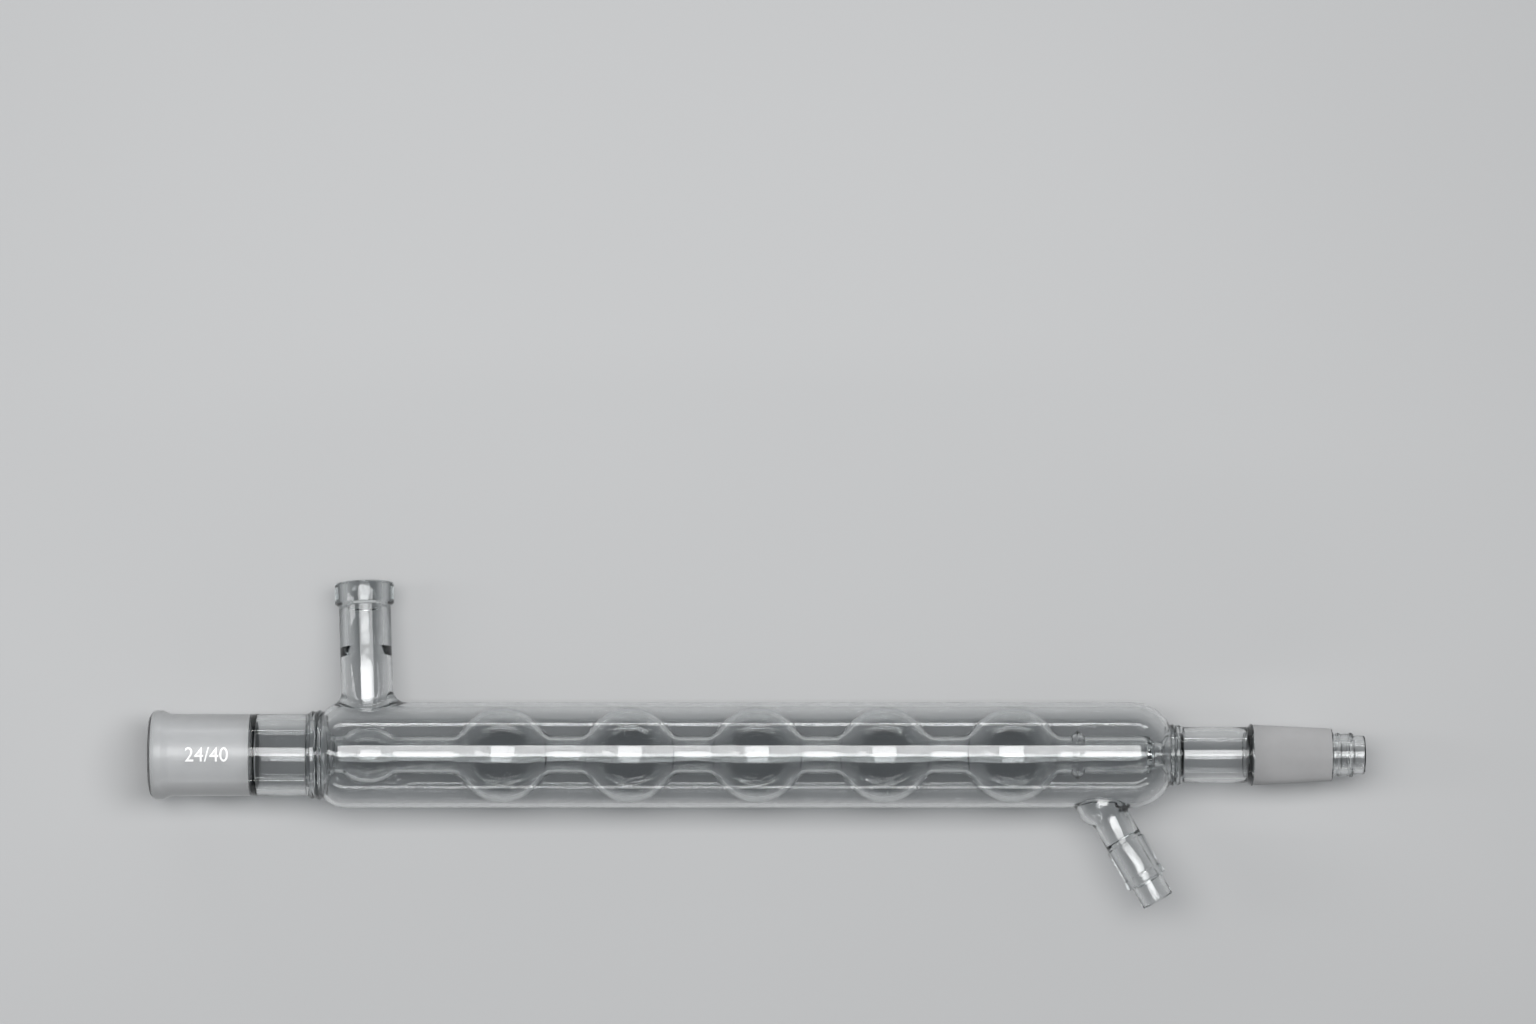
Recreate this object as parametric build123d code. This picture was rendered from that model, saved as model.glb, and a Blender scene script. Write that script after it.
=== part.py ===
from build123d import *
import os
from math import asin, atan2, degrees, hypot, sin, sqrt, tan

# Allihn reflux condenser, blown and sealed from borosilicate glass tubing into one piece.
# The condenser axis is X, from the mouth of the ground socket at X = 0 to the drip tip.
# The port points to +Y and the hose connector to -Y. The piece lies on its jacket and on
# the collar of its port, so both are turned a little about X from the level. Millimetres.
#
# Every outline below is a list of corners (along the axis, out from the axis, corner
# radius), which is revolved into a round body.

# Ground socket and its lip: a 24 mm standard taper, narrowing by 1 mm in each 10 mm.
TAPER_RATIO = 10.0
SOCKET_MOUTH_RADIUS = 12.0
SOCKET_GROUND_LENGTH = 40.0
SOCKET_MOUTH_ROUND = 1.2
LIP_HEIGHT = 1.45
LIP_LENGTH = 5.4
LIP_ROUND = 3.3
LIP_RUN_OUT = 3.2

# Neck between the socket and the jacket, as wide outside as the socket.
NECK_RADIUS = 16.3
NECK_WALL = 2.4
NECK_LENGTH = 22.5

# Jacket.
JACKET_RADIUS = 21.0
JACKET_WALL = 1.5
UPPER_SHOULDER_ROUND = 12.0
UPPER_SHOULDER_LENGTH = 4.5
LOWER_SHOULDER_ROUND = 17.3
LOWER_SHOULDER_LENGTH = 5.5

# Ring seals, where the inner tube is fused to the jacket's ends. Each has two low ridges.
UPPER_SEAL_LENGTH = 6.2
UPPER_SEAL_HEIGHT = 0.9
LOWER_SEAL_LENGTH = 5.1
LOWER_SEAL_HEIGHT = 0.75
RIDGE_HEIGHT = 0.75
UPPER_FLARE_LENGTH = 3.95

# Inner tube, its small entry bulb, its row of bulbs and the ring squeezed below them.
TUBE_RADIUS = 7.6
TUBE_WALL = 1.6
BULB_COUNT = 5
BULB_SPACING = 12.9
BULB_WALL = 2.0
BULB_CLEARANCE = 0.65
BULB_NECK_ROUND = 5.0
ENTRY_NECK_ROUND = 2.2
ENTRY_BULB_RADIUS = 11.4
ENTRY_BULB_HALF_LENGTH = 13.8
ENTRY_BULB_SETBACK = 18.1
ENTRY_BULB_SPACING = 20.25
RING_SPACING = 7.15
RING_HEIGHT = 2.5
RING_WIDTH = 4.8
TAIL_LENGTH = 30.0
TAIL_TAPER = 1.4
TAIL_ROUND = 2.2
THROAT_RADIUS = 5.4
THROAT_LENGTH = 6.6

# Lower neck, ground cone and drip tip.
LOWER_NECK_RADIUS = 11.15
LOWER_NECK_WALL = 1.7
LOWER_NECK_LENGTH = 26.8
CONE_RADIUS = 12.0
CONE_GROUND_LENGTH = 31.4
CONE_WALL = 3.4
CONE_LIP_HEIGHT = 0.35
CONE_LIP_LENGTH = 0.9
TIP_STEP = 1.98
TIP_BEAD_HEIGHT = 0.38
TIP_END_STEP = 0.7
TIP_LENGTH = 13.0
TIP_END_LENGTH = 4.4
TIP_WALL = 1.7

# Port on the jacket: a plain socket with a collar round its mouth, leaning 2 degrees.
PORT_LEAN = 2.0
PORT_REACH = 68.7
PORT_RADIUS = 10.3
PORT_WALL = 1.6
PORT_BORE_RADIUS = 7.0
PORT_BORE_DEPTH = 25.4
PORT_STEP_LENGTH = 4.0
PORT_COLLAR_HEIGHT = 1.45
PORT_COLLAR_LENGTH = 8.2
PORT_FLARE = 5.5
PORT_BORE_FLARE = 3.5

# Hose connector on the jacket: a slanting tube swollen at its root, with a thicker grip,
# a ring and a tip. Its stations are counted from the condenser axis.
HOSE_SETBACK = 37.9
HOSE_SLANT = 60.5
HOSE_REACH = 66.7
HOSE_RADIUS = 7.5
HOSE_WALL = 1.6
HOSE_GRIP_START = 40.8
HOSE_GRIP_HEIGHT = 0.65
HOSE_GRIP_LENGTH = 13.4
HOSE_RING_HEIGHT = 0.8
HOSE_RING_LENGTH = 3.3
HOSE_TIP_RADIUS = 6.5
HOSE_TIP_WALL = 1.5
HOSE_ROOT_HEIGHT = 2.8
HOSE_ROOT_END = 28.6
HOSE_ROOT_ROUND = 4.0
HOSE_FLARE = 0.9
HOSE_BORE_FLARE = 0.6

EDGE_ROUND = 0.6

# Radii that follow from the sizes above.
neck_bore = NECK_RADIUS - NECK_WALL
jacket_bore = JACKET_RADIUS - JACKET_WALL
bulb_radius = jacket_bore - BULB_CLEARANCE
tube_bore = TUBE_RADIUS - TUBE_WALL
throat_bore = THROAT_RADIUS - TUBE_WALL
lower_neck_bore = LOWER_NECK_RADIUS - LOWER_NECK_WALL
socket_end_bore = SOCKET_MOUTH_RADIUS - SOCKET_GROUND_LENGTH / TAPER_RATIO / 2
cone_end_radius = CONE_RADIUS - CONE_GROUND_LENGTH / TAPER_RATIO / 2
tip_radius = cone_end_radius - TIP_STEP
tip_end_radius = tip_radius - TIP_END_STEP
tip_bore = tip_end_radius - TIP_WALL
port_collar_radius = PORT_RADIUS + PORT_COLLAR_HEIGHT
hose_tip_bore = HOSE_TIP_RADIUS - HOSE_TIP_WALL

# Stations along the axis, each worked out from the one before.
bulb_pitch = 2 * bulb_radius + BULB_SPACING
x_socket_end = SOCKET_GROUND_LENGTH
x_upper_seal = x_socket_end + NECK_LENGTH
x_jacket_start = x_upper_seal + UPPER_SEAL_LENGTH
x_entry_bulb = x_jacket_start + ENTRY_BULB_SETBACK
x_first_bulb = x_entry_bulb + ENTRY_BULB_HALF_LENGTH + ENTRY_BULB_SPACING + bulb_radius
x_last_bulb = x_first_bulb + (BULB_COUNT - 1) * bulb_pitch
x_ring = x_last_bulb + bulb_radius + RING_SPACING
x_tail_end = x_ring + TAIL_LENGTH
x_jacket_end = x_tail_end + THROAT_LENGTH
x_lower_neck = x_jacket_end + LOWER_SEAL_LENGTH
x_cone = x_lower_neck + LOWER_NECK_LENGTH
x_cone_end = x_cone + CONE_LIP_LENGTH + CONE_GROUND_LENGTH
x_end = x_cone_end + TIP_LENGTH

bulb_centres = [x_first_bulb + i * bulb_pitch for i in range(BULB_COUNT)]

# Where the seals sit: the radius at which each shoulder starts outside, and the slant of
# each shoulder's straight stretch.
upper_shoulder_radius = NECK_RADIUS + UPPER_SEAL_HEIGHT
lower_shoulder_radius = LOWER_NECK_RADIUS + LOWER_SEAL_HEIGHT
upper_slant = atan2(JACKET_RADIUS - upper_shoulder_radius, UPPER_SHOULDER_LENGTH)
lower_slant = atan2(JACKET_RADIUS - lower_shoulder_radius, LOWER_SHOULDER_LENGTH)
upper_shoulder_wall = (JACKET_RADIUS - upper_shoulder_radius) / sin(upper_slant)
lower_shoulder_wall = (JACKET_RADIUS - lower_shoulder_radius) / sin(lower_slant)

# Rounds that the wall beside them limits.
upper_shoulder_round = min(UPPER_SHOULDER_ROUND, 0.96 * upper_shoulder_wall / tan(upper_slant / 2))
lower_shoulder_round = min(LOWER_SHOULDER_ROUND, 0.96 * lower_shoulder_wall / tan(lower_slant / 2))
port_bore_flare = min(PORT_BORE_FLARE, 0.4 * (jacket_bore - PORT_RADIUS + PORT_WALL))


def outline(corners):
    """A closed flat face with straight sides and rounded corners."""
    points = [(along, out) for along, out, _ in corners]
    rounds = [corner_round for _, _, corner_round in corners]
    return make_face(FilletPolyline(*points, radius=rounds, close=True))


def turned(face):
    """The round body that a face sweeps about the condenser axis, its seam on the top."""
    return Rot(90, 0, 0) * revolve(face, axis=Axis.X)


def outer_face():
    """Half the section of the whole condenser without its side arms, taken as solid."""
    x_lip_end = LIP_LENGTH + LIP_RUN_OUT
    lip_radius = NECK_RADIUS + LIP_HEIGHT
    x_cone_ground = x_cone + CONE_LIP_LENGTH
    cone_lip_radius = CONE_RADIUS + CONE_LIP_HEIGHT
    x_tip_end_part = x_end - TIP_END_LENGTH
    bead = tip_radius + TIP_BEAD_HEIGHT
    lip_and_neck = [
        (0, 0, 0),
        (0, lip_radius, LIP_ROUND),
        (LIP_LENGTH, lip_radius, 2.4),
        (x_lip_end, NECK_RADIUS, 5.0),
        (x_upper_seal, NECK_RADIUS, 1.0),
    ]
    upper_seal = [
        (x_upper_seal + 0.31 * UPPER_SEAL_LENGTH, upper_shoulder_radius + 0.6 * RIDGE_HEIGHT, 0.9),
        (x_upper_seal + 0.53 * UPPER_SEAL_LENGTH, upper_shoulder_radius, 0.6),
        (x_upper_seal + 0.79 * UPPER_SEAL_LENGTH, upper_shoulder_radius + RIDGE_HEIGHT, 0.8),
    ]
    jacket = [
        (x_jacket_start, upper_shoulder_radius, 0.5),
        (x_jacket_start + UPPER_SHOULDER_LENGTH, JACKET_RADIUS, upper_shoulder_round),
        (x_jacket_end - LOWER_SHOULDER_LENGTH, JACKET_RADIUS, lower_shoulder_round),
        (x_jacket_end, lower_shoulder_radius, 0.5),
    ]
    lower_seal = [
        (x_jacket_end + 0.21 * LOWER_SEAL_LENGTH, lower_shoulder_radius + 0.6 * RIDGE_HEIGHT, 0.6),
        (x_jacket_end + 0.4 * LOWER_SEAL_LENGTH, lower_shoulder_radius - 0.2, 0.5),
        (x_jacket_end + 0.62 * LOWER_SEAL_LENGTH, lower_shoulder_radius + 0.2, 0.7),
        (x_lower_neck, LOWER_NECK_RADIUS, 1.5),
    ]
    cone = [
        (x_cone - 1.1, LOWER_NECK_RADIUS, 1.0),
        (x_cone, cone_lip_radius, 0.3),
        (x_cone + 0.75 * CONE_LIP_LENGTH, cone_lip_radius, 0.2),
        (x_cone_ground, CONE_RADIUS, 0),
        (x_cone_end, cone_end_radius, 0.5),
    ]
    tip = [
        (x_cone_end, tip_radius, 0.3),
        (x_cone_end + 1.9, tip_radius, 0.2),
        (x_cone_end + 2.2, bead, 0.2),
        (x_cone_end + 3.0, bead, 0.2),
        (x_cone_end + 3.3, tip_radius, 0.2),
        (x_tip_end_part - 2.0, tip_radius, 0.2),
        (x_tip_end_part - 1.7, bead, 0.2),
        (x_tip_end_part - 0.6, bead, 0.2),
        (x_tip_end_part, tip_end_radius, 0.3),
        (x_end, tip_end_radius, EDGE_ROUND),
        (x_end, 0, 0),
    ]
    return outline(lip_and_neck + upper_seal + jacket + lower_seal + cone + tip)


def neck_corners(face, tube, x_bulb, half_length, height):
    """The two corners of a face where a bulb meets the tube."""
    reach = half_length * sqrt(1 - (tube / height) ** 2)
    return [
        v for v in face.vertices()
        if abs(abs(v.X - x_bulb) - reach) < 1e-3 and abs(v.Y - tube) < 1e-3
    ]


def tube_face(tube, bulb, entry_bulb, ring_top, throat, upper_end, lower_end, neck_round, tail):
    """Half the section of the inner tube with its bulbs, up to the two ring seals.

    It serves for the outside and for the bore, which differ only in their sizes.
    upper_end and lower_end are the corners of the flared ends.
    """
    half_ring = RING_WIDTH / 2
    stem = outline(
        [
            (upper_end[0][0], 0, 0),
            *upper_end,
            (x_ring - half_ring, tube, 0.8),
            (x_ring, ring_top, 0.7),
            (x_ring + half_ring, tube, 0.8),
            (tail - TAIL_TAPER, tube, TAIL_ROUND),
            (tail, throat, 0.8),
            *lower_end,
            (lower_end[-1][0], 0, 0),
        ]
    )
    half_plane = Pos(x_end / 2, x_end / 2) * Rectangle(x_end, x_end)
    entry_half_length = ENTRY_BULB_HALF_LENGTH - (ENTRY_BULB_RADIUS - entry_bulb)
    bulbs = [Pos(x, 0) * Circle(bulb) for x in bulb_centres]
    bulbs.append(Pos(x_entry_bulb, 0) * Ellipse(entry_half_length, entry_bulb))
    face = stem + [body & half_plane for body in bulbs]
    face = fillet(neck_corners(face, tube, x_entry_bulb, entry_half_length, entry_bulb), ENTRY_NECK_ROUND)
    for x_bulb in bulb_centres:
        face = fillet(neck_corners(face, tube, x_bulb, bulb, bulb), neck_round)
    return face


def inner_tube_face():
    """The inner tube taken as solid, with its ends flared to meet the jacket."""
    upper_end = [
        (x_upper_seal, neck_bore, 0),
        (x_jacket_start, neck_bore - 0.5, 0),
        (x_jacket_start + UPPER_FLARE_LENGTH, TUBE_RADIUS, 2.6),
    ]
    lower_end = [
        (x_jacket_end - 3.0, THROAT_RADIUS, 1.4),
        (x_jacket_end - 0.3, lower_neck_bore, 0),
        (x_jacket_end + 1.0, lower_neck_bore, 0),
    ]
    return tube_face(
        TUBE_RADIUS, bulb_radius, ENTRY_BULB_RADIUS, TUBE_RADIUS + RING_HEIGHT, THROAT_RADIUS,
        upper_end, lower_end, BULB_NECK_ROUND, x_tail_end,
    )


def vapour_face():
    """Half the section of the way through: socket, neck, inner tube, cone and drip tip."""
    cone_bore = CONE_RADIUS - CONE_WALL
    x_bore_end = x_end + 1.0
    mouth = SOCKET_MOUTH_RADIUS - SOCKET_MOUTH_ROUND / TAPER_RATIO / 2
    upper_end = [
        (-1.0, SOCKET_MOUTH_RADIUS + 1.0 + SOCKET_MOUTH_ROUND, 0),
        (SOCKET_MOUTH_ROUND, mouth, 1.0),
        (x_socket_end, socket_end_bore, 0.4),
        (x_socket_end + 2.2, neck_bore, 1.2),
        (x_jacket_start - 2.3, neck_bore, 3.4),
        (x_jacket_start + 2.2, tube_bore, 2.4),
    ]
    lower_end = [
        (x_jacket_end - 2.0, throat_bore, 1.2),
        (x_jacket_end + 2.8, lower_neck_bore, 2.0),
        (x_cone - 1.2, lower_neck_bore, 0.8),
        (x_cone - 0.4, cone_bore, 0.3),
        (x_cone_end - 1.0, cone_end_radius - CONE_WALL, 0.3),
        (x_cone_end + 0.5, tip_bore, 0.4),
        (x_end - EDGE_ROUND, tip_bore, 0.4),
        (x_bore_end, tip_bore + EDGE_ROUND + 1.0, 0),
    ]
    return tube_face(
        tube_bore, bulb_radius - BULB_WALL, ENTRY_BULB_RADIUS - TUBE_WALL, tube_bore + RING_HEIGHT - 0.4,
        throat_bore, upper_end, lower_end, BULB_NECK_ROUND + TUBE_WALL, x_tail_end - TUBE_WALL,
    )


def jacket_bore_face():
    """Half the section of the inside of the jacket, between its two seals."""
    upper_shift = JACKET_WALL * tan(upper_slant / 2)
    lower_shift = JACKET_WALL * tan(lower_slant / 2)
    x_upper_corner = x_jacket_start + UPPER_SHOULDER_LENGTH + upper_shift
    x_lower_corner = x_jacket_end - LOWER_SHOULDER_LENGTH - lower_shift
    x_upper_end = x_jacket_start + 0.2
    x_lower_end = x_jacket_end - 1.0
    upper_end_radius = jacket_bore - (x_upper_corner - x_upper_end) * tan(upper_slant)
    lower_end_radius = jacket_bore - (x_lower_end - x_lower_corner) * tan(lower_slant)
    return outline(
        [
            (x_upper_end, 0, 0),
            (x_upper_end, upper_end_radius, 0.7),
            (x_upper_corner, jacket_bore, upper_shoulder_round - JACKET_WALL),
            (x_lower_corner, jacket_bore, lower_shoulder_round - JACKET_WALL),
            (x_lower_end, lower_end_radius, 0.4),
            (x_lower_end, 0, 0),
        ]
    )


def arm_location(x, direction, turn):
    """Places a body turned about X so that it runs from the condenser axis at x."""
    return Pos(x, 0, 0) * Rot(0, 0, direction * turn)


port_place = arm_location(x_entry_bulb, 1, 90 + PORT_LEAN)
hose_place = arm_location(x_jacket_end - HOSE_SETBACK, -1, HOSE_SLANT)


def port_body():
    """The port taken as solid, from inside the jacket to its collar."""
    collar_start = PORT_REACH - PORT_COLLAR_LENGTH
    return turned(
        outline(
            [
                (0, 0, 0),
                (0, PORT_RADIUS, 0),
                (collar_start - 1.0, PORT_RADIUS, 0.6),
                (collar_start, port_collar_radius, 0.5),
                (PORT_REACH, port_collar_radius, 0.9),
                (PORT_REACH, 0, 0),
            ]
        )
    )


def port_bore():
    """The bore of the port, open into the jacket, with a step below its socket."""
    step_top = PORT_REACH - PORT_BORE_DEPTH
    wide_bore = PORT_RADIUS - PORT_WALL
    start = (ENTRY_BULB_RADIUS + sqrt(jacket_bore**2 - wide_bore**2)) / 2
    return turned(
        outline(
            [
                (start, 0, 0),
                (start, wide_bore, 0),
                (step_top - PORT_STEP_LENGTH, wide_bore, 1.2),
                (step_top, PORT_BORE_RADIUS, 1.2),
                (PORT_REACH - EDGE_ROUND, PORT_BORE_RADIUS, 0.5),
                (PORT_REACH + 1.0, PORT_BORE_RADIUS + EDGE_ROUND + 1.0, 0),
                (PORT_REACH + 1.0, 0, 0),
            ]
        )
    )


def hose_body():
    """The hose connector taken as solid."""
    root = HOSE_RADIUS + HOSE_ROOT_HEIGHT
    grip = HOSE_RADIUS + HOSE_GRIP_HEIGHT
    grip_end = HOSE_GRIP_START + HOSE_GRIP_LENGTH
    ring = HOSE_RADIUS + HOSE_RING_HEIGHT
    ring_end = grip_end + HOSE_RING_LENGTH
    return turned(
        outline(
            [
                (0, 0, 0),
                (0, root, 0),
                (HOSE_ROOT_END - 1.3 * HOSE_ROOT_HEIGHT, root, HOSE_ROOT_ROUND),
                (HOSE_ROOT_END, HOSE_RADIUS, 1.2),
                (HOSE_GRIP_START - 0.5, HOSE_RADIUS, 0.3),
                (HOSE_GRIP_START, grip, 0.3),
                (grip_end - 0.4, grip - 0.3, 0.2),
                (grip_end, ring, 0.2),
                (ring_end, ring, 0.3),
                (ring_end + 0.3, HOSE_TIP_RADIUS, 0.3),
                (HOSE_REACH, HOSE_TIP_RADIUS, EDGE_ROUND),
                (HOSE_REACH, 0, 0),
            ]
        )
    )


def hose_bore():
    """The bore of the hose connector, wide at its root and narrow from its grip on."""
    wide_bore = HOSE_RADIUS - HOSE_WALL
    root_bore = wide_bore + HOSE_ROOT_HEIGHT - 0.3
    start = 0.82 * jacket_bore
    return turned(
        outline(
            [
                (start, 0, 0),
                (start, root_bore, 0),
                (HOSE_ROOT_END - 1.3 * HOSE_ROOT_HEIGHT - 0.8, root_bore, HOSE_ROOT_ROUND - HOSE_WALL),
                (HOSE_ROOT_END - 0.8, wide_bore, 1.2),
                (HOSE_GRIP_START - 2.5, wide_bore, 1.2),
                (HOSE_GRIP_START, hose_tip_bore, 1.2),
                (HOSE_REACH - EDGE_ROUND / 2, hose_tip_bore, 0.3),
                (HOSE_REACH + 1.0, hose_tip_bore + EDGE_ROUND / 2 + 1.0, 0),
                (HOSE_REACH + 1.0, 0, 0),
            ]
        )
    )


def root_edges(body, place, arm_radius, wall_radius):
    """The edges where a side arm, no wider than arm_radius, meets the jacket wall."""
    axis_point = place.position
    direction = (place * Pos(1, 0, 0)).position - axis_point
    found = []
    for edge in body.edges():
        points = [edge.position_at(share) - axis_point for share in (0.1, 0.5, 0.9)]
        along = [point.dot(direction) for point in points]
        beside = [(point - direction * a).length for point, a in zip(points, along)]
        from_axis = [hypot(point.Y, point.Z) for point in points]
        if (
            min(along) > 0
            and max(beside) < arm_radius + 0.2
            and max(from_axis) < wall_radius + 0.2
            and min(from_axis) > wall_radius * 0.8
        ):
            found.append(edge)
    return found


def rest_turn():
    """How far the condenser turns about its axis until the port's collar touches what it lies on."""
    collar_round = 0.9
    along = PORT_REACH - collar_round
    out = port_collar_radius - collar_round
    return degrees(asin((JACKET_RADIUS - collar_round) / hypot(along, out)) - atan2(out, along))


def condenser():
    """The whole condenser in one solid."""
    hose_root = HOSE_RADIUS + HOSE_ROOT_HEIGHT
    outside = turned(outer_face()) + port_place * port_body() + hose_place * hose_body()
    outside = fillet(root_edges(outside, port_place, PORT_RADIUS, JACKET_RADIUS), PORT_FLARE)
    outside = fillet(root_edges(outside, hose_place, hose_root, JACKET_RADIUS), HOSE_FLARE)
    water = turned(jacket_bore_face() - inner_tube_face())
    water = water + port_place * port_bore() + hose_place * hose_bore()
    water = fillet(root_edges(water, port_place, PORT_RADIUS - PORT_WALL, jacket_bore), port_bore_flare)
    water = fillet(root_edges(water, hose_place, hose_root - HOSE_WALL, jacket_bore), HOSE_BORE_FLARE)
    glass = outside - water - turned(vapour_face())
    return Rot(-rest_turn(), 0, 0) * glass


os.makedirs("parts", exist_ok=True)
export_step(condenser(), "parts/condenser_glass.step")
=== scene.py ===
from math import asin, atan2, ceil, cos, hypot, pi, radians, sin, tan

import bmesh
import bpy
import numpy as np
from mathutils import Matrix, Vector


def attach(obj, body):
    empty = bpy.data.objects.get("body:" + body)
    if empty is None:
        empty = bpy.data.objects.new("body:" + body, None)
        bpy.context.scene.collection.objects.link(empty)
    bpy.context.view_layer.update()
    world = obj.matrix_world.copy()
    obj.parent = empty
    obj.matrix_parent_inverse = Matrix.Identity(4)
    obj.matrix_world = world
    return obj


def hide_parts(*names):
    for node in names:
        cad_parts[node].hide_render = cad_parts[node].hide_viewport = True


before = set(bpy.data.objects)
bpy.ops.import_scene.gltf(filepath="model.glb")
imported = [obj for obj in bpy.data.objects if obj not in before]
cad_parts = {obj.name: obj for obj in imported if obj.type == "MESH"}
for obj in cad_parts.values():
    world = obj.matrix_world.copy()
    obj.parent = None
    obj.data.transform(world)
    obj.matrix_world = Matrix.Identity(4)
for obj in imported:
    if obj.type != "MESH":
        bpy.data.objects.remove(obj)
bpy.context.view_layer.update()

MM = 0.001

# Sizes of the condenser in millimetres, the same as in the part's source.
TAPER_RATIO = 10.0
SOCKET_MOUTH_RADIUS = 12.0
SOCKET_GROUND_LENGTH = 40.0
SOCKET_MOUTH_ROUND = 1.2
LIP_HEIGHT = 1.45
LIP_LENGTH = 5.4
LIP_ROUND = 3.3
LIP_RUN_OUT = 3.2

NECK_RADIUS = 16.3
NECK_WALL = 2.4
NECK_LENGTH = 22.5

JACKET_RADIUS = 21.0
JACKET_WALL = 1.5
UPPER_SHOULDER_ROUND = 12.0
UPPER_SHOULDER_LENGTH = 4.5
LOWER_SHOULDER_ROUND = 17.3
LOWER_SHOULDER_LENGTH = 5.5

UPPER_SEAL_LENGTH = 6.2
UPPER_SEAL_HEIGHT = 0.9
LOWER_SEAL_LENGTH = 5.1
LOWER_SEAL_HEIGHT = 0.75
RIDGE_HEIGHT = 0.75
UPPER_FLARE_LENGTH = 3.95

TUBE_RADIUS = 7.6
TUBE_WALL = 1.6
BULB_COUNT = 5
BULB_SPACING = 12.9
BULB_WALL = 2.0
BULB_CLEARANCE = 0.65
BULB_NECK_ROUND = 5.0
ENTRY_NECK_ROUND = 2.2
ENTRY_BULB_RADIUS = 11.4
ENTRY_BULB_HALF_LENGTH = 13.8
ENTRY_BULB_SETBACK = 18.1
ENTRY_BULB_SPACING = 20.25
RING_SPACING = 7.15
RING_HEIGHT = 2.5
RING_WIDTH = 4.8
TAIL_LENGTH = 30.0
TAIL_TAPER = 1.4
TAIL_ROUND = 2.2
THROAT_RADIUS = 5.4
THROAT_LENGTH = 6.6

LOWER_NECK_RADIUS = 11.15
LOWER_NECK_WALL = 1.7
LOWER_NECK_LENGTH = 26.8
CONE_RADIUS = 12.0
CONE_GROUND_LENGTH = 31.4
CONE_WALL = 3.4
CONE_LIP_HEIGHT = 0.35
CONE_LIP_LENGTH = 0.9
TIP_STEP = 1.98
TIP_BEAD_HEIGHT = 0.38
TIP_END_STEP = 0.7
TIP_LENGTH = 13.0
TIP_END_LENGTH = 4.4
TIP_WALL = 1.7

PORT_LEAN = 2.0
PORT_REACH = 68.7
PORT_RADIUS = 10.3
PORT_WALL = 1.6
PORT_BORE_RADIUS = 7.0
PORT_BORE_DEPTH = 25.4
PORT_STEP_LENGTH = 4.0
PORT_COLLAR_HEIGHT = 1.45
PORT_COLLAR_LENGTH = 8.2
PORT_COLLAR_ROUND = 0.9
PORT_FLARE = 5.5
PORT_BORE_FLARE = 3.5

HOSE_SETBACK = 37.9
HOSE_SLANT = 60.5
HOSE_REACH = 66.7
HOSE_RADIUS = 7.5
HOSE_WALL = 1.6
HOSE_ROOT_HEIGHT = 2.8
HOSE_ROOT_END = 28.6
HOSE_ROOT_ROUND = 4.0
HOSE_FLARE = 0.9
HOSE_BORE_FLARE = 0.6
HOSE_GRIP_START = 40.8
HOSE_GRIP_HEIGHT = 0.65
HOSE_GRIP_LENGTH = 13.4
HOSE_RING_HEIGHT = 0.8
HOSE_RING_LENGTH = 3.3
HOSE_TIP_RADIUS = 6.5
HOSE_TIP_WALL = 1.5

EDGE_ROUND = 0.6

# Radii and stations that follow from the sizes.
neck_bore = NECK_RADIUS - NECK_WALL
jacket_bore = JACKET_RADIUS - JACKET_WALL
bulb_radius = jacket_bore - BULB_CLEARANCE
tube_bore = TUBE_RADIUS - TUBE_WALL
throat_bore = THROAT_RADIUS - TUBE_WALL
lower_neck_bore = LOWER_NECK_RADIUS - LOWER_NECK_WALL
socket_end_bore = SOCKET_MOUTH_RADIUS - SOCKET_GROUND_LENGTH / TAPER_RATIO / 2
cone_end_radius = CONE_RADIUS - CONE_GROUND_LENGTH / TAPER_RATIO / 2
tip_radius = cone_end_radius - TIP_STEP
tip_end_radius = tip_radius - TIP_END_STEP
tip_bore = tip_end_radius - TIP_WALL
port_collar_radius = PORT_RADIUS + PORT_COLLAR_HEIGHT
hose_tip_bore = HOSE_TIP_RADIUS - HOSE_TIP_WALL
upper_shoulder_radius = NECK_RADIUS + UPPER_SEAL_HEIGHT
lower_shoulder_radius = LOWER_NECK_RADIUS + LOWER_SEAL_HEIGHT
upper_slant = atan2(JACKET_RADIUS - upper_shoulder_radius, UPPER_SHOULDER_LENGTH)
lower_slant = atan2(JACKET_RADIUS - lower_shoulder_radius, LOWER_SHOULDER_LENGTH)

bulb_pitch = 2 * bulb_radius + BULB_SPACING
x_socket_end = SOCKET_GROUND_LENGTH
x_upper_seal = x_socket_end + NECK_LENGTH
x_jacket_start = x_upper_seal + UPPER_SEAL_LENGTH
x_entry_bulb = x_jacket_start + ENTRY_BULB_SETBACK
x_first_bulb = x_entry_bulb + ENTRY_BULB_HALF_LENGTH + ENTRY_BULB_SPACING + bulb_radius
x_last_bulb = x_first_bulb + (BULB_COUNT - 1) * bulb_pitch
x_ring = x_last_bulb + bulb_radius + RING_SPACING
x_tail_end = x_ring + TAIL_LENGTH
x_jacket_end = x_tail_end + THROAT_LENGTH
x_lower_neck = x_jacket_end + LOWER_SEAL_LENGTH
x_cone = x_lower_neck + LOWER_NECK_LENGTH
x_cone_ground = x_cone + CONE_LIP_LENGTH
x_cone_end = x_cone_ground + CONE_GROUND_LENGTH
x_end = x_cone_end + TIP_LENGTH

# The size mark on the socket.
MARK_START = 15.2
MARK_LENGTH = 17.0
MARK_HEIGHT = 5.8
MARK_OFFSET = 0.8
MARK_RISE = 0.05
MARK_BOLDNESS = 0.005
MARK_STRIPS = 16

# How the mesh is divided: around the axis, and along a rounded or straight stretch.
AROUND = 96
TURN_STEP = radians(7.5)
STRAIGHT_STEP = 10.0
FINE_STEP = 0.25
PATCH_STEPS = 6

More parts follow.
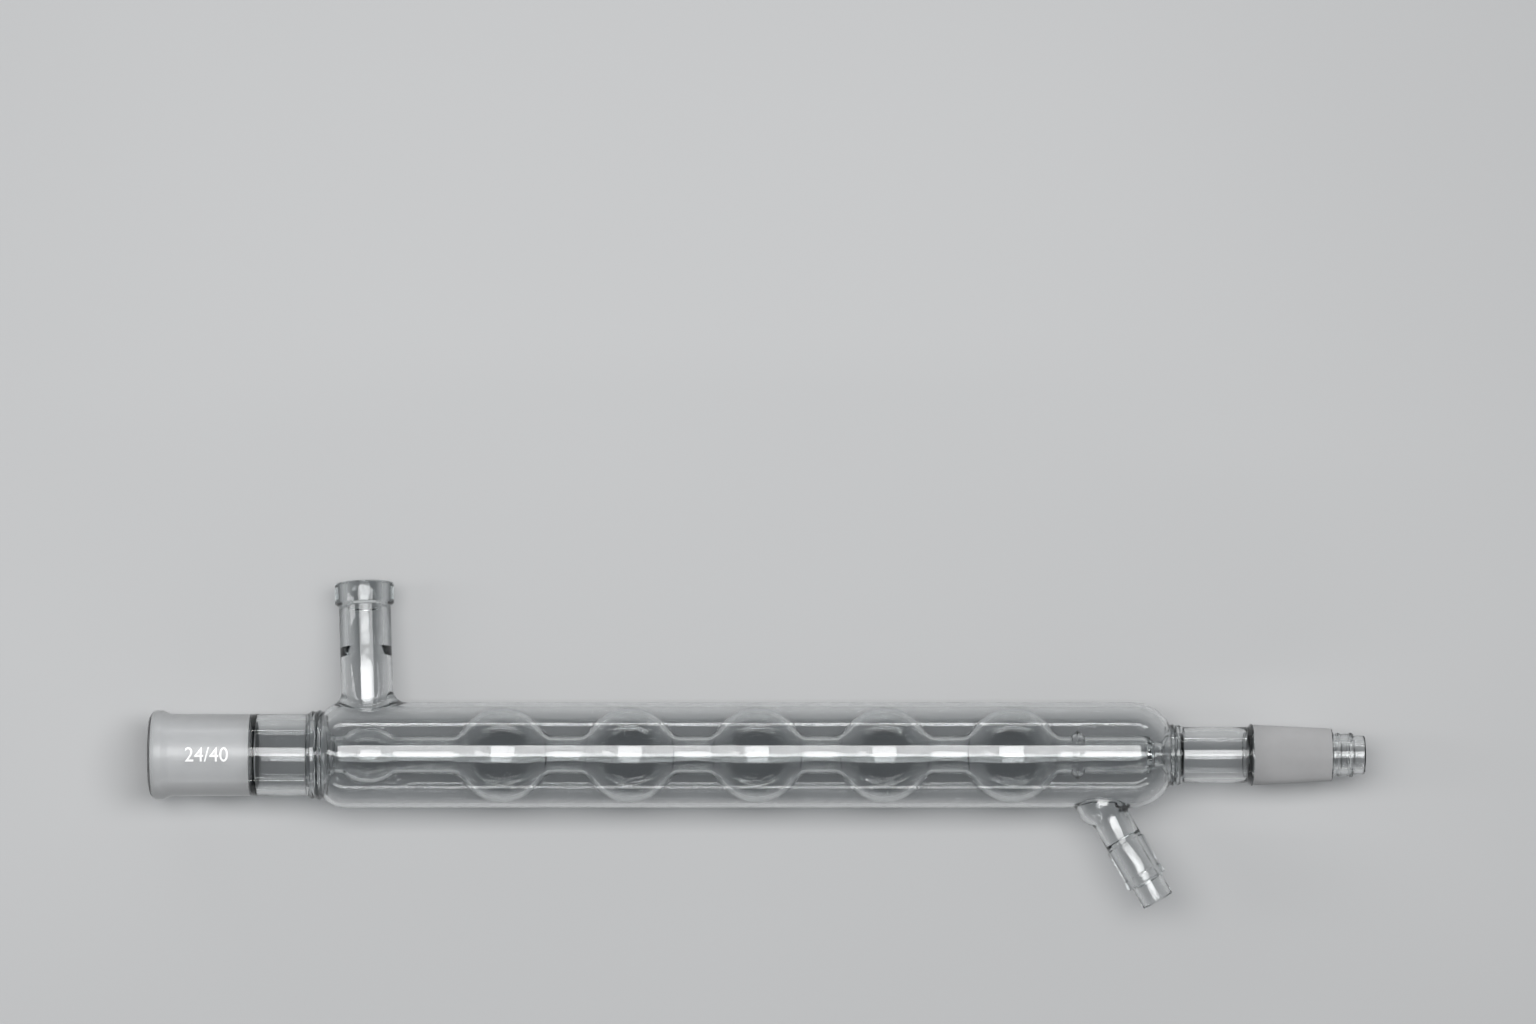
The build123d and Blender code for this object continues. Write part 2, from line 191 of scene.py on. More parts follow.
# The stretch of jacket that each side arm's patch takes up, and its cells along and around.
PORT_PATCH_START = 0.9
PORT_PATCH_START_INSIDE = 1.6
PORT_PATCH_HALF = 18.5
PORT_CELLS = (28, 26)
HOSE_PATCH_START = 42.5
HOSE_PATCH_END = 13.0
HOSE_CELLS = (24, 20)

# Where each side arm's rings are whole, and the steps in its corner and up to there.
PORT_WHOLE = 29.0
PORT_STEPS = (8, 3)
HOSE_WHOLE = 30.5
HOSE_STEPS = (3, 14)

# The finish of a face: its place in the list of materials.
CLEAR, GROUND_BORE, GROUND_CONE, SATIN = 0, 1, 2, 3


def rounded(corners):
    """Points along a path with rounded corners, given as (along, out, corner radius)."""
    points = []
    for i, (x, r, size) in enumerate(corners):
        here = np.array([x, r])
        if size == 0 or i in (0, len(corners) - 1):
            points.append(here)
            continue
        back = np.array(corners[i - 1][:2]) - here
        ahead = np.array(corners[i + 1][:2]) - here
        back /= np.linalg.norm(back)
        ahead /= np.linalg.norm(ahead)
        half = np.arccos(np.clip(back @ ahead, -1, 1)) / 2
        inward = (back + ahead) / np.linalg.norm(back + ahead)
        centre = here + inward * size / sin(half)
        start = here + back * size / tan(half) - centre
        stop = here + ahead * size / tan(half) - centre
        turn = pi - 2 * half
        for share in np.linspace(0, 1, max(2, ceil(turn / radians(3)) + 1)):
            arm = (sin((1 - share) * turn) * start + sin(share * turn) * stop) / sin(turn)
            points.append(centre + arm)
    return points


def bulb(x_centre, half_length, height, base, neck_round):
    """Points over a bulb on a tube of radius base, with a rounded neck on each side."""

    def at(u):
        point = np.array([half_length * cos(u), height * sin(u)])
        normal = np.array([cos(u) / half_length, sin(u) / height])
        return point, normal / np.linalg.norm(normal)

    low, high = 0.0, pi / 2
    for _ in range(50):
        u = (low + high) / 2
        point, normal = at(u)
        if point[1] + neck_round * normal[1] > base + neck_round:
            high = u
        else:
            low = u
    centre = point + neck_round * normal
    slope = atan2(normal[0], normal[1])
    right = [at(v)[0] for v in np.linspace(pi / 2, u, 30)]
    for angle in np.linspace(slope, 0, 20)[1:]:
        right.append(centre - neck_round * np.array([sin(angle), cos(angle)]))
    left = [p * (-1, 1) for p in reversed(right[1:])]
    return [p + (x_centre, 0) for p in left + right]


def bulbs_on(tube, entry, full, neck_round):
    """The entry bulb and the row of round bulbs on a tube of that radius."""
    entry_half = ENTRY_BULB_HALF_LENGTH - (ENTRY_BULB_RADIUS - entry)
    points = bulb(x_entry_bulb, entry_half, entry, tube, ENTRY_NECK_ROUND)
    for i in range(BULB_COUNT):
        points += bulb(x_first_bulb + i * bulb_pitch, full, full, tube, neck_round)
    return points


def tail_of(tube, throat, tail, ring_top):
    """Corners of the tube from its last bulb over the ring to the throat."""
    half_ring = RING_WIDTH / 2
    return [
        (x_ring - half_ring - 1.2, tube, 0),
        (x_ring - half_ring, tube, 0.8),
        (x_ring, ring_top, 0.7),
        (x_ring + half_ring, tube, 0.8),
        (tail - TAIL_TAPER, tube, TAIL_ROUND),
        (tail, throat, 0.8),
    ]


def outer_path():
    """The outside, from the edge of the socket's mouth to the edge of the drip tip."""
    x_lip_end = LIP_LENGTH + LIP_RUN_OUT
    lip_radius = NECK_RADIUS + LIP_HEIGHT
    cone_lip_radius = CONE_RADIUS + CONE_LIP_HEIGHT
    x_tip_end_part = x_end - TIP_END_LENGTH
    bead = tip_radius + TIP_BEAD_HEIGHT
    mouth_edge = SOCKET_MOUTH_RADIUS + SOCKET_MOUTH_ROUND
    return rounded(
        [
            (SOCKET_MOUTH_ROUND / 2, mouth_edge - SOCKET_MOUTH_ROUND / 2, 0),
            (0, mouth_edge, 0.9),
            (0, lip_radius, LIP_ROUND),
            (LIP_LENGTH, lip_radius, 2.4),
            (x_lip_end, NECK_RADIUS, 5.0),
            (x_upper_seal, NECK_RADIUS, 1.0),
            (x_upper_seal + 0.31 * UPPER_SEAL_LENGTH, upper_shoulder_radius + 0.6 * RIDGE_HEIGHT, 0.9),
            (x_upper_seal + 0.53 * UPPER_SEAL_LENGTH, upper_shoulder_radius, 0.6),
            (x_upper_seal + 0.79 * UPPER_SEAL_LENGTH, upper_shoulder_radius + RIDGE_HEIGHT, 0.8),
            (x_jacket_start, upper_shoulder_radius, 0.5),
            (x_jacket_start + UPPER_SHOULDER_LENGTH, JACKET_RADIUS, UPPER_SHOULDER_ROUND),
            (x_jacket_end - LOWER_SHOULDER_LENGTH, JACKET_RADIUS, LOWER_SHOULDER_ROUND),
            (x_jacket_end, lower_shoulder_radius, 0.5),
            (x_jacket_end + 0.21 * LOWER_SEAL_LENGTH, lower_shoulder_radius + 0.6 * RIDGE_HEIGHT, 0.6),
            (x_jacket_end + 0.4 * LOWER_SEAL_LENGTH, lower_shoulder_radius - 0.2, 0.5),
            (x_jacket_end + 0.62 * LOWER_SEAL_LENGTH, lower_shoulder_radius + 0.2, 0.7),
            (x_lower_neck, LOWER_NECK_RADIUS, 1.5),
            (x_cone - 1.1, LOWER_NECK_RADIUS, 1.0),
            (x_cone, cone_lip_radius, 0.3),
            (x_cone + 0.75 * CONE_LIP_LENGTH, cone_lip_radius, 0.2),
            (x_cone_ground, CONE_RADIUS, 0),
            (x_cone_end, cone_end_radius, 0.5),
            (x_cone_end, tip_radius, 0.3),
            (x_cone_end + 1.9, tip_radius, 0.2),
            (x_cone_end + 2.2, bead, 0.2),
            (x_cone_end + 3.0, bead, 0.2),
            (x_cone_end + 3.3, tip_radius, 0.2),
            (x_tip_end_part - 2.0, tip_radius, 0.2),
            (x_tip_end_part - 1.7, bead, 0.2),
            (x_tip_end_part - 0.6, bead, 0.2),
            (x_tip_end_part, tip_end_radius, 0.3),
            (x_end, tip_end_radius, EDGE_ROUND),
            (x_end, tip_bore + EDGE_ROUND, 0.2),
            (x_end - EDGE_ROUND / 2, tip_bore + EDGE_ROUND / 2, 0),
        ]
    )


def vapour_path():
    """The way through, from the edge of the socket's mouth to the edge of the drip tip."""
    cone_bore = CONE_RADIUS - CONE_WALL
    mouth_edge = SOCKET_MOUTH_RADIUS + SOCKET_MOUTH_ROUND
    mouth = SOCKET_MOUTH_RADIUS - SOCKET_MOUTH_ROUND / TAPER_RATIO / 2
    upper = rounded(
        [
            (SOCKET_MOUTH_ROUND / 2, mouth_edge - SOCKET_MOUTH_ROUND / 2, 0),
            (SOCKET_MOUTH_ROUND, mouth, 0.5),
            (x_socket_end, socket_end_bore, 0.4),
            (x_socket_end + 2.2, neck_bore, 1.2),
            (x_jacket_start - 2.3, neck_bore, 3.4),
            (x_jacket_start + 2.2, tube_bore, 2.4),
            (x_jacket_start + 5.0, tube_bore, 0),
        ]
    )
    row = bulbs_on(
        tube_bore, ENTRY_BULB_RADIUS - TUBE_WALL, bulb_radius - BULB_WALL, BULB_NECK_ROUND + TUBE_WALL
    )
    lower = rounded(
        tail_of(tube_bore, throat_bore, x_tail_end - TUBE_WALL, tube_bore + RING_HEIGHT - 0.4)
        + [
            (x_jacket_end - 2.0, throat_bore, 1.2),
            (x_jacket_end + 2.8, lower_neck_bore, 2.0),
            (x_cone - 1.2, lower_neck_bore, 0.8),
            (x_cone - 0.4, cone_bore, 0.3),
            (x_cone_end - 1.0, cone_end_radius - CONE_WALL, 0.3),
            (x_cone_end + 0.5, tip_bore, 0.4),
            (x_end - EDGE_ROUND, tip_bore, 0.4),
            (x_end - EDGE_ROUND / 2, tip_bore + EDGE_ROUND / 2, 0),
        ]
    )
    return upper + row + lower


def jacket_bore_path():
    """The inside of the jacket, from its upper seal to its lower seal."""
    upper_shift = JACKET_WALL * tan(upper_slant / 2)
    lower_shift = JACKET_WALL * tan(lower_slant / 2)
    x_upper_corner = x_jacket_start + UPPER_SHOULDER_LENGTH + upper_shift
    x_lower_corner = x_jacket_end - LOWER_SHOULDER_LENGTH - lower_shift
    x_upper_end = x_jacket_start + 0.2
    x_lower_end = x_jacket_end - 1.0
    upper_end = jacket_bore - (x_upper_corner - x_upper_end) * tan(upper_slant)
    lower_end = jacket_bore - (x_lower_end - x_lower_corner) * tan(lower_slant)
    return rounded(
        [
            (x_upper_end, upper_end - 1.2, 0),
            (x_upper_end, upper_end, 0.7),
            (x_upper_corner, jacket_bore, UPPER_SHOULDER_ROUND - JACKET_WALL),
            (x_lower_corner, jacket_bore, LOWER_SHOULDER_ROUND - JACKET_WALL),
            (x_lower_end, lower_end, 0.4),
            (x_lower_end, lower_end - 1.0, 0),
        ]
    )


def tube_outer_path():
    """The outside of the inner tube, from its upper seal to its lower seal."""
    x_upper_end = x_jacket_start + 0.2
    x_lower_end = x_jacket_end - 1.0
    flare_start = neck_bore - 0.5
    flare_slope = (flare_start - TUBE_RADIUS) / UPPER_FLARE_LENGTH
    throat_slope = (lower_neck_bore - THROAT_RADIUS) / 2.7
    upper = rounded(
        [
            (x_upper_end, flare_start - 0.2 * flare_slope, 0),
            (x_jacket_start + UPPER_FLARE_LENGTH, TUBE_RADIUS, 2.6),
            (x_jacket_start + UPPER_FLARE_LENGTH + 1.6, TUBE_RADIUS, 0),
        ]
    )
    row = bulbs_on(TUBE_RADIUS, ENTRY_BULB_RADIUS, bulb_radius, BULB_NECK_ROUND)
    lower = rounded(
        tail_of(TUBE_RADIUS, THROAT_RADIUS, x_tail_end, TUBE_RADIUS + RING_HEIGHT)
        + [
            (x_jacket_end - 3.0, THROAT_RADIUS, 1.4),
            (x_lower_end, THROAT_RADIUS + 2.0 * throat_slope, 0),
        ]
    )
    return upper + row + lower


def port_outer_path():
    """The outside of the port, from inside the jacket to its mouth, and over the rim."""
    collar_start = PORT_REACH - PORT_COLLAR_LENGTH
    return rounded(
        [
            (5.0, PORT_RADIUS, 0),
            (collar_start - 1.0, PORT_RADIUS, 0.6),
            (collar_start, port_collar_radius, 0.5),
            (PORT_REACH, port_collar_radius, PORT_COLLAR_ROUND),
            (PORT_REACH, PORT_BORE_RADIUS + EDGE_ROUND, 0.25),
            (PORT_REACH - EDGE_ROUND / 2, PORT_BORE_RADIUS + EDGE_ROUND / 2, 0),
        ]
    )


def port_bore_path():
    """The bore of the port, from inside the water space to its mouth."""
    step_top = PORT_REACH - PORT_BORE_DEPTH
    wide_bore = PORT_RADIUS - PORT_WALL
    return rounded(
        [
            (5.0, wide_bore, 0),
            (step_top - PORT_STEP_LENGTH, wide_bore, 1.2),
            (step_top, PORT_BORE_RADIUS, 1.2),
            (PORT_REACH - EDGE_ROUND, PORT_BORE_RADIUS, 0.5),
            (PORT_REACH - EDGE_ROUND / 2, PORT_BORE_RADIUS + EDGE_ROUND / 2, 0),
        ]
    )


def hose_outer_path():
    """The outside of the hose connector, from inside the jacket to its tip."""
    root = HOSE_RADIUS + HOSE_ROOT_HEIGHT
    grip = HOSE_RADIUS + HOSE_GRIP_HEIGHT
    grip_end = HOSE_GRIP_START + HOSE_GRIP_LENGTH
    ring = HOSE_RADIUS + HOSE_RING_HEIGHT
    ring_end = grip_end + HOSE_RING_LENGTH
    return rounded(
        [
            (5.0, root, 0),
            (HOSE_ROOT_END - 1.3 * HOSE_ROOT_HEIGHT, root, HOSE_ROOT_ROUND),
            (HOSE_ROOT_END, HOSE_RADIUS, 1.2),
            (HOSE_GRIP_START - 0.5, HOSE_RADIUS, 0.3),
            (HOSE_GRIP_START, grip, 0.3),
            (grip_end - 0.4, grip - 0.3, 0.2),
            (grip_end, ring, 0.2),
            (ring_end, ring, 0.3),
            (ring_end + 0.3, HOSE_TIP_RADIUS, 0.3),
            (HOSE_REACH, HOSE_TIP_RADIUS, EDGE_ROUND),
            (HOSE_REACH, hose_tip_bore + EDGE_ROUND / 2, 0.1),
            (HOSE_REACH - EDGE_ROUND / 4, hose_tip_bore + EDGE_ROUND / 4, 0),
        ]
    )


def hose_bore_path():
    """The bore of the hose connector, from inside the water space to its tip."""
    wide_bore = HOSE_RADIUS - HOSE_WALL
    root_bore = wide_bore + HOSE_ROOT_HEIGHT - 0.3
    return rounded(
        [
            (5.0, root_bore, 0),
            (HOSE_ROOT_END - 1.3 * HOSE_ROOT_HEIGHT - 0.8, root_bore, HOSE_ROOT_ROUND - HOSE_WALL),
            (HOSE_ROOT_END - 0.8, wide_bore, 1.2),
            (HOSE_GRIP_START - 2.5, wide_bore, 1.2),
            (HOSE_GRIP_START, hose_tip_bore, 1.2),
            (HOSE_REACH - EDGE_ROUND / 2, hose_tip_bore, 0.3),
            (HOSE_REACH - EDGE_ROUND / 4, hose_tip_bore + EDGE_ROUND / 4, 0),
        ]
    )


class Path:
    """A finely divided path in a half plane, measured by the length run along it."""

    def __init__(self, points):
        fine = [np.array(points[0], float)]
        for point in points[1:]:
            gap = np.linalg.norm(point - fine[-1])
            if gap < 1e-6:
                continue
            start = fine[-1]
            for share in np.linspace(0, 1, ceil(gap / FINE_STEP) + 1)[1:]:
                fine.append(start + (point - start) * share)
        self.points = np.array(fine)
        steps = np.diff(self.points, axis=0)
        lengths = np.linalg.norm(steps, axis=1)
        self.run = np.concatenate([[0], np.cumsum(lengths)])
        self.heading = np.unwrap(np.arctan2(steps[:, 1], steps[:, 0]))

    def at(self, run):
        x = np.interp(run, self.run, self.points[:, 0])
        r = np.interp(run, self.run, self.points[:, 1])
        return x, r

    def normal(self, run):
        """The direction to the left of the path there, which is out of the glass."""
        i = np.clip(np.searchsorted(self.run, run) - 1, 0, len(self.heading) - 1)
        lo = np.maximum(i - 1, 0)
        hi = np.minimum(i + 1, len(self.heading) - 1)
        angle = (self.heading[lo] + self.heading[i] + self.heading[hi]) / 3
        return -np.sin(angle), np.cos(angle)

    def nearest(self, x, r):
        """The run and the distance of the nearest point of the path."""
        a, b = self.points[:-1], self.points[1:]
        along = b - a
        share = ((np.array([x, r]) - a) * along).sum(1) / (along ** 2).sum(1)
        share = np.clip(share, 0, 1)
        foot = a + along * share[:, None]
        gaps = np.hypot(x - foot[:, 0], r - foot[:, 1])
        i = int(np.argmin(gaps))
        return self.run[i] + share[i] * (self.run[i + 1] - self.run[i]), gaps[i]

    def run_at_x(self, x):
        """The run at which the path first reaches x."""
        i = int(np.argmax(self.points[:, 0] >= x))
        x0, x1 = self.points[i - 1, 0], self.points[i, 0]
        return self.run[i - 1] + (self.run[i] - self.run[i - 1]) * (x - x0) / (x1 - x0)

    def stations(self, start, stop, step=STRAIGHT_STEP):
        """Runs from start to stop, close together where the path turns."""
        chosen = [start]
        turned = 0.0
        for i in range(1, len(self.run) - 1):
            run = self.run[i]
            if run <= start + 1e-6:
                continue
            if run >= stop - 1e-6:
                break
            turned += abs(self.heading[i] - self.heading[i - 1])
            if turned >= TURN_STEP or run - chosen[-1] >= step:
                chosen.append(run)
                turned = 0.0
        if len(chosen) > 1 and stop - chosen[-1] < 0.05:
            chosen.pop()
        return chosen + [stop]


class Shell:
    """The corners and faces of the whole mesh as it grows, and the finish of each face."""

    def __init__(self):
        self.corners = []
        self.faces = []
        self.finish = []

    def add(self, points):
        """Adds corners and returns their numbers."""
        first = len(self.corners)
        self.corners.extend(map(tuple, points))
        return list(range(first, len(self.corners)))

    def band(self, ring_a, ring_b):
        """Joins two closed rings of as many corners."""
        n = len(ring_a)
        for k in range(n):
            m = (k + 1) % n
            self.faces.append((ring_a[k], ring_a[m], ring_b[m], ring_b[k]))
            self.finish.append(CLEAR)


def around_x(x, r, angle):
    """A point on a round surface about the condenser axis; angle 0 is up, 90 degrees +Y."""
    return np.stack([x + 0 * angle, r * np.sin(angle), r * np.cos(angle)], axis=-1)


class Hole:
    """A patch of the grid about the condenser axis that a side arm replaces."""

    def __init__(self, x_from, x_to, angle, cells):
        self.x_from = x_from
        self.x_to = x_to
        self.cells_along, cells_around = cells
        self.middle = round(angle / (2 * pi) * AROUND)
        self.half = cells_around // 2


class Arm:
    """A side arm's axis: where it leaves the condenser axis and which way it points."""

    def __init__(self, x, angle):
        self.foot = np.array([x, 0.0, 0.0])
        self.along = np.array([cos(radians(angle)), sin(radians(angle)), 0.0])
        self.side = np.array([-self.along[1], self.along[0], 0.0])
        self.up = np.array([0.0, 0.0, 1.0])

    def point(self, s, r, angle):
        beside = cos(angle) * self.side + sin(angle) * self.up
        return self.foot + s * self.along + r * beside

    def angle_of(self, point):
        from_foot = point - self.foot
        return atan2(from_foot @ self.up, from_foot @ self.side)


def revolve_path(shell, path, runs, holes=(), finishes=()):
    """Adds a surface about the condenser axis with its holes, and returns its grid."""
    angles = np.arange(AROUND) * 2 * pi / AROUND
    cut = set()
    for hole, first in holes:
        for i in range(first, first + hole.cells_along):
            for j in range(hole.middle - hole.half, hole.middle + hole.half):
                cut.add((i, j % AROUND))
    grid = np.full((len(runs), AROUND), -1)
    x, r = path.at(np.array(runs))
    for i in range(len(runs)):
        for j in range(AROUND):
            around = [(i - a, (j - b) % AROUND) for a in (0, 1) for b in (0, 1)]
            if all(cell in cut for cell in around):
                continue
            grid[i, j] = len(shell.corners)
            shell.corners.append(tuple(around_x(x[i], r[i], angles[j])))
    for i in range(len(runs) - 1):
        middle = (x[i] + x[i + 1]) / 2
        finish = sum(kind for a, b, kind in finishes if a < middle < b)
        for j in range(AROUND):
            if (i, j) not in cut:
                m = (j + 1) % AROUND
                shell.faces.append((grid[i, j], grid[i, m], grid[i + 1, m], grid[i + 1, j]))
                shell.finish.append(finish)
    return grid


def edge_of_hole(grid, hole, first):
    """The corners round a hole in order, with their place in the grid."""
    last = first + hole.cells_along
    left, right = hole.middle - hole.half, hole.middle + hole.half
    places = [(i, left) for i in range(first, last)]
    places += [(last, j) for j in range(left, right)]
    places += [(i, right) for i in range(last, first, -1)]
    places += [(first, j) for j in range(right, left, -1)]
    return [(grid[i, j % AROUND], i, j) for i, j in places]


def contact(arm, arm_path, wall_path, size, angle):
    """Where a ball of that radius touches both the arm and the wall, for one direction.

    Returns the run along the arm, the ball's centre, and the run and angle on the wall.
    """
    low, high = 0.0, arm_path.run[-1] * 0.75
    for _ in range(40):
        run = (low + high) / 2
        s, r = arm_path.at(run)
        ns, nr = arm_path.normal(run)
        centre = arm.point(s + size * ns, r + size * nr, angle)
        height = hypot(centre[1], centre[2])
        wall_run, gap = wall_path.nearest(centre[0], height)
        inside = height < np.interp(centre[0], wall_path.points[:, 0], wall_path.points[:, 1])
        if inside or gap < size:
            low = run
        else:
            high = run
    return run, centre, wall_run, atan2(centre[1], centre[2])


def arm_surface(shell, arm, arm_path, wall_path, wall_runs, edge, size, whole, steps):
    """Joins a side arm to the wall round a hole with a rounded corner.

    Adds rings from the hole's edge to the arm's first whole ring, and then whole rings
    to the end of the arm. Returns the last ring.
    """
    arc_steps, blend_steps = steps
    rings = arm_path.stations(arm_path.run_at_x(whole), arm_path.run[-1])
    numbers = [e[0] for e in edge]
    directions, found = [], []
    for number, _, _ in edge:
        angle = arm.angle_of(np.array(shell.corners[number]))
        directions.append(angle)
        found.append(contact(arm, arm_path, wall_path, size, angle))
    ring = numbers
    for step in range(1, PATCH_STEPS + 1):
        share = step / PATCH_STEPS
        share = share * (1.6 - 0.6 * share)
        points = []
        for (_, i, j), (_, _, wall_run, wall_angle) in zip(edge, found):
            edge_angle = j * 2 * pi / AROUND
            turn = (wall_angle - edge_angle + pi) % (2 * pi) - pi
            run = wall_runs[i] + (wall_run - wall_runs[i]) * share
            x, r = wall_path.at(run)
            points.append(around_x(x, r, edge_angle + turn * share))
        new = shell.add(points)
        shell.band(ring, new)
        ring = new
    for step in range(1, arc_steps + 1):
        share = step / arc_steps
        points = []
        for angle, (run, centre, wall_run, wall_angle) in zip(directions, found):
            x, r = wall_path.at(wall_run)
            low = around_x(x, r, wall_angle) - centre
            s, q = arm_path.at(run)
            high = arm.point(s, q, angle) - centre
            likeness = low @ high / np.linalg.norm(low) / np.linalg.norm(high)
            turn = np.arccos(np.clip(likeness, -1, 1))
            mixed = sin((1 - share) * turn) * low + sin(share * turn) * high
            points.append(centre + mixed / max(sin(turn), 1e-9))
        new = shell.add(points)
        shell.band(ring, new)
        ring = new
    for step in range(1, blend_steps + 1):
        share = step / blend_steps
        points = []
        for angle, (run, _, _, _) in zip(directions, found):
            s, r = arm_path.at(run + (rings[0] - run) * share)
            points.append(arm.point(s, r, angle))
        new = shell.add(points)
        shell.band(ring, new)
        ring = new
    for run in rings[1:]:
        s, r = arm_path.at(run)
        new = shell.add([arm.point(s, r, angle) for angle in directions])
        shell.band(ring, new)
        ring = new
    return ring


def joined_runs(path, holes=(), forced=()):
    """Grid runs over a whole path, evenly divided in each hole, and each hole with its first."""
    marks = sorted([path.run[0], path.run[-1], *forced])
    spans = [(path.run_at_x(h.x_from), path.run_at_x(h.x_to), h) for h in holes]
    runs, firsts = [], []
    start = path.run[0]
    for low, high, hole in spans:
        for a, b in pieces_between(marks, start, low):
            runs += path.stations(a, b)[:-1]
        firsts.append(len(runs))
        runs += list(np.linspace(low, high, hole.cells_along + 1))[:-1]
        start = high
    for a, b in pieces_between(marks, start, path.run[-1]):
        runs += path.stations(a, b)[:-1]
    return runs + [path.run[-1]], list(zip(holes, firsts))


def pieces_between(marks, start, stop):
    """The stretches from start to stop, cut at the marks between them."""
    inner = [start] + [m for m in marks if start + 1e-6 < m < stop - 1e-6] + [stop]
    return list(zip(inner[:-1], inner[1:]))


def rest_turn():
    """How far the condenser turns about its axis until the port's collar touches the floor."""
    along = PORT_REACH - PORT_COLLAR_ROUND
    out = port_collar_radius - PORT_COLLAR_ROUND
    return asin((JACKET_RADIUS - PORT_COLLAR_ROUND) / hypot(along, out)) - atan2(out, along)


def make_glass():
    """The whole condenser as one closed mesh."""
    shell = Shell()
    outer, vapour = Path(outer_path()), Path(vapour_path())
    jacket, tube = Path(jacket_bore_path()), Path(tube_outer_path())
    port_out, port_in = Path(port_outer_path()), Path(port_bore_path())
    hose_out, hose_in = Path(hose_outer_path()), Path(hose_bore_path())
    port = Arm(x_entry_bulb, 90 + PORT_LEAN)
    hose = Arm(x_jacket_end - HOSE_SETBACK, -HOSE_SLANT)
    x_port_end = x_entry_bulb + PORT_PATCH_HALF
    port_hole = Hole(x_jacket_start + PORT_PATCH_START, x_port_end, pi / 2, PORT_CELLS)
    port_hole_inside = Hole(x_jacket_start + PORT_PATCH_START_INSIDE, x_port_end, pi / 2, PORT_CELLS)
    hose_hole = Hole(x_jacket_end - HOSE_PATCH_START, x_jacket_end - HOSE_PATCH_END, -pi / 2, HOSE_CELLS)

    x_matt, x_matt_end = SOCKET_MOUTH_ROUND, x_cone_end - 0.5
    marks = [outer.run_at_x(x) for x in (x_matt, x_socket_end, x_cone_ground, x_matt_end)]
    matt = [(x_matt, x_socket_end, SATIN), (x_cone_ground, x_matt_end, GROUND_CONE)]
    outer_runs, holes = joined_runs(outer, [port_hole, hose_hole], marks)
    grid = revolve_path(shell, outer, outer_runs, holes, matt)
    outer_edges = [edge_of_hole(grid, hole, first) for hole, first in holes]
    mouth_ring, tip_ring = list(grid[0]), list(grid[-1])

    marks = [vapour.run_at_x(x) for x in (SOCKET_MOUTH_ROUND, x_socket_end)]
    matt = [(SOCKET_MOUTH_ROUND, x_socket_end, GROUND_BORE)]
    runs, _ = joined_runs(vapour, forced=marks)
    inner = Shell()
    grid = revolve_path(inner, vapour, runs, finishes=matt)
    add_between(shell, inner, grid, mouth_ring, tip_ring)

    jacket_runs, holes = joined_runs(jacket, [port_hole_inside, hose_hole])
    grid = revolve_path(shell, jacket, jacket_runs, holes)
    inner_edges = [edge_of_hole(grid, hole, first) for hole, first in holes]
    upper_ring, lower_ring = list(grid[0]), list(grid[-1])
    runs, _ = joined_runs(tube)
    grid = revolve_path(shell, tube, runs)
    shell.band(upper_ring, list(grid[0]))
    shell.band(lower_ring, list(grid[-1]))

    for arm, paths, sizes, whole, steps, edges in (
        (port, (port_out, port_in), (PORT_FLARE, PORT_BORE_FLARE), PORT_WHOLE, PORT_STEPS, 0),
        (hose, (hose_out, hose_in), (HOSE_FLARE, HOSE_BORE_FLARE), HOSE_WHOLE, HOSE_STEPS, 1),
    ):
        ends = []
        for path, size, wall, wall_runs, edge in (
            (paths[0], sizes[0], outer, outer_runs, outer_edges[edges]),
            (paths[1], sizes[1], jacket, jacket_runs, inner_edges[edges]),
        ):
            ends.append(arm_surface(shell, arm, path, wall, wall_runs, edge, size, whole, steps))
        shell.band(*ends)
    return shell


def add_between(shell, inner, grid, mouth_ring, tip_ring):
    """Adds a surface whose first and last rings are corners that the shell has already."""
    numbers = {}
    for ring, own in ((grid[0], mouth_ring), (grid[-1], tip_ring)):
        for a, b in zip(ring, own):
            numbers[int(a)] = int(b)
    for k, corner in enumerate(inner.corners):
        if k not in numbers:
            numbers[k] = len(shell.corners)
            shell.corners.append(corner)
    for face, finish in zip(inner.faces, inner.finish):
        shell.faces.append(tuple(numbers[int(k)] for k in face))
        shell.finish.append(finish)


def turned_to_rest(points):
    """The points turned about the condenser axis to where it rests, in metres."""
    a = rest_turn()
    x, y, z = np.array(points).T
    return np.stack([x, y * cos(a) + z * sin(a), -y * sin(a) + z * cos(a)], axis=-1) * MM


def glass_piece():
    """Makes the condenser's mesh object."""
    shell = make_glass()
    mesh = bpy.data.meshes.new("condenser")
    faces = [tuple(int(k) for k in face) for face in shell.faces]
    mesh.from_pydata(turned_to_rest(shell.corners).tolist(), [], faces)
    mesh.polygons.foreach_set("material_index", shell.finish)
    mesh.polygons.foreach_set("use_smooth", [True] * len(faces))
    work = bmesh.new()
    work.from_mesh(mesh)
    bmesh.ops.remove_doubles(work, verts=work.verts, dist=1e-7)
    bmesh.ops.recalc_face_normals(work, faces=work.faces)
    work.to_mesh(mesh)
    work.free()
    piece = bpy.data.objects.new("condenser", mesh)
    bpy.context.scene.collection.objects.link(piece)
    return piece


